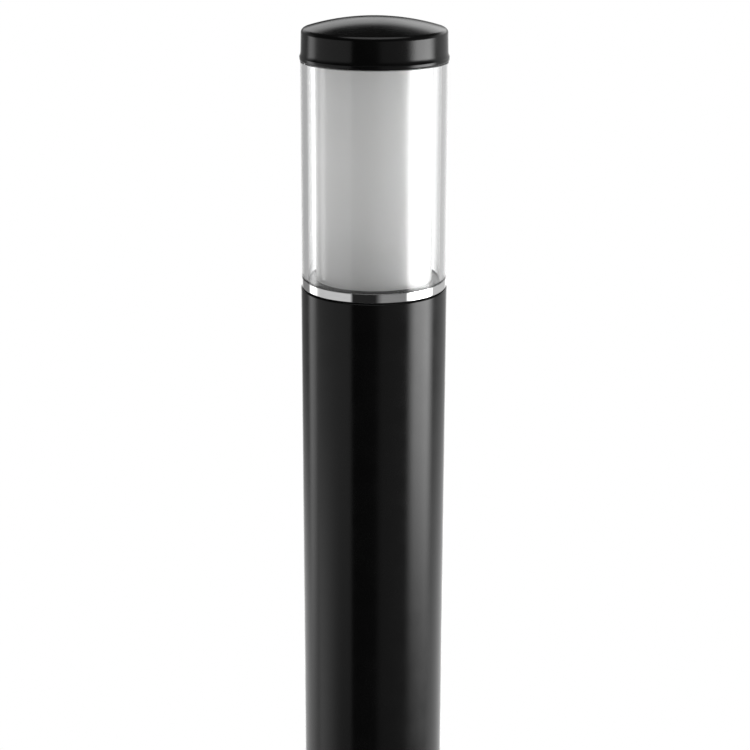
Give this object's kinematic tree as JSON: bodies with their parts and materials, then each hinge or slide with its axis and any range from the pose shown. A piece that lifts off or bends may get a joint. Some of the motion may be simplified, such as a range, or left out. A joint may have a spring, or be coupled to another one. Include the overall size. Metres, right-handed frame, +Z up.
{
  "type": "bollard light",
  "caption": "Round path bollard light: a black post on a base flange with a clear tube over an opal diffuser under a domed black screw cap.",
  "frame": {"origin": "centre of the base flange's underside, on the ground", "axes": "+Z up along the post's axis, -Y towards the front, +X to the right seen from the front"},
  "size_m": [0.18, 0.18, 1],
  "materials": {
    "black_coat": "satin black powder coat",
    "clear_acrylic": "clear polished acrylic",
    "opal_acrylic": "opal white acrylic, satin gloss",
    "polished_steel": "mirror polished stainless steel",
    "aluminium": "bare extruded aluminium",
    "zinc_steel": "zinc plated steel",
    "rubber": "matt black rubber",
    "led_board": "white solder mask",
    "white_plastic": "matt white moulding",
    "grey_plastic": "matt grey moulding",
    "brown_insulation": "brown cable insulation",
    "blue_insulation": "blue cable insulation",
    "grey_jacket": "grey cable jacket"
  },
  "bodies": {
    "post": {"base_flange": "black_coat", "post_tube": "black_coat", "base_set_screw_1": "zinc_steel", "base_set_screw_2": "zinc_steel", "base_set_screw_3": "zinc_steel", "head_set_screw_1": "zinc_steel", "head_set_screw_2": "zinc_steel"},
    "head": {"head_base": "black_coat", "rim_gasket": "rubber", "trim_ring": "polished_steel", "tube_gasket": "rubber", "tie_rod": "zinc_steel", "rod_nut": "zinc_steel", "rod_washer": "zinc_steel", "column_nut": "zinc_steel", "column_washer": "zinc_steel", "diffuser_locator": "white_plastic", "column_cap": "white_plastic", "led_column": "aluminium", "led_board_1": "led_board", "led_board_2": "led_board", "led_board_3": "led_board", "led_board_4": "led_board", "board_screw_1a": "zinc_steel", "board_screw_1b": "zinc_steel", "board_screw_2a": "zinc_steel", "board_screw_2b": "zinc_steel", "board_screw_3a": "zinc_steel", "board_screw_3b": "zinc_steel", "board_screw_4a": "zinc_steel", "board_screw_4b": "zinc_steel", "lead_grommet": "rubber", "led_connector": "white_plastic", "led_lead": "grey_jacket", "gear_tray": "zinc_steel", "tray_screw_1": "zinc_steel", "tray_screw_2": "zinc_steel", "led_driver": "white_plastic", "driver_screw_1": "zinc_steel", "driver_screw_2": "zinc_steel", "terminal_block": "grey_plastic", "terminal_screw_1": "zinc_steel", "terminal_screw_2": "zinc_steel", "cable_clamp": "white_plastic", "clamp_screw_1": "zinc_steel", "clamp_screw_2": "zinc_steel", "earth_washer": "zinc_steel", "earth_screw": "zinc_steel", "brown_lead": "brown_insulation", "blue_lead": "blue_insulation"},
    "opal": {"opal_diffuser": "opal_acrylic"},
    "tube": {"clear_tube": "clear_acrylic"},
    "cap_seal": {"cap_gasket": "rubber"},
    "cap": {"cap": "black_coat"}
  },
  "joints": [
    {"name": "head_lift", "type": "slide", "parent": "post", "child": "head", "axis": [0, 0, 1], "range_m": [0, 0.345]},
    {"name": "opal_lift", "type": "slide", "parent": "head", "child": "opal", "axis": [0, 0, 1], "range_m": [0, 0.18]},
    {"name": "tube_lift", "type": "slide", "parent": "opal", "child": "tube", "axis": [0, 0, 1], "range_m": [0, 0.182]},
    {"name": "cap_rise", "type": "slide", "parent": "tube", "child": "cap_seal", "axis": [0, 0, 1], "range_m": [0, 0.008]},
    {"name": "cap_turn", "type": "hinge", "parent": "cap_seal", "child": "cap", "pos_m": [0, 0, 0.9864], "axis": [0, 0, 1], "range_deg": [0, 720]}
  ],
  "couplings": [
    {"joint": "cap_rise", "follows": "cap_turn", "m_per_rad": 0.00063662}
  ]
}
